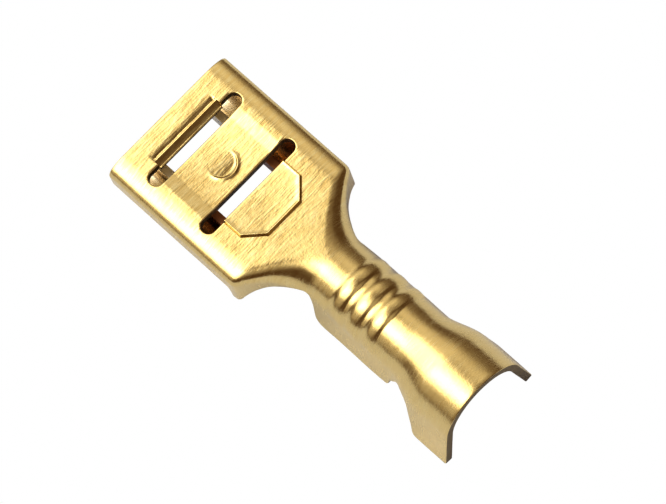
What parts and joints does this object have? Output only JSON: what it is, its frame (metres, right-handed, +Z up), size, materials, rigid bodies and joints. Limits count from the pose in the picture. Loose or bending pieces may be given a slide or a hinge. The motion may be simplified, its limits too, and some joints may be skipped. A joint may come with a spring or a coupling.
{
  "type": "female spade terminal",
  "caption": "Uninsulated female spade terminal folded from brass sheet: rolled receptacle for a flat tab, beaded wire crimp barrel and longer insulation crimp wings.",
  "frame": {"origin": "centre of the bounding box's lowest face, on the surface that the terminal lies on", "axes": "+X from the tab mouth to the insulation wings, +Y across, +Z up, out of the floor's outer face within 5 degrees"},
  "size_m": [0.0206, 0.0078, 0.0049],
  "materials": {
    "brass_sheet": "satin brushed brass, with fine rolling lines across the strip"
  },
  "bodies": {
    "root": {"terminal": "brass_sheet"}
  },
  "joints": []
}
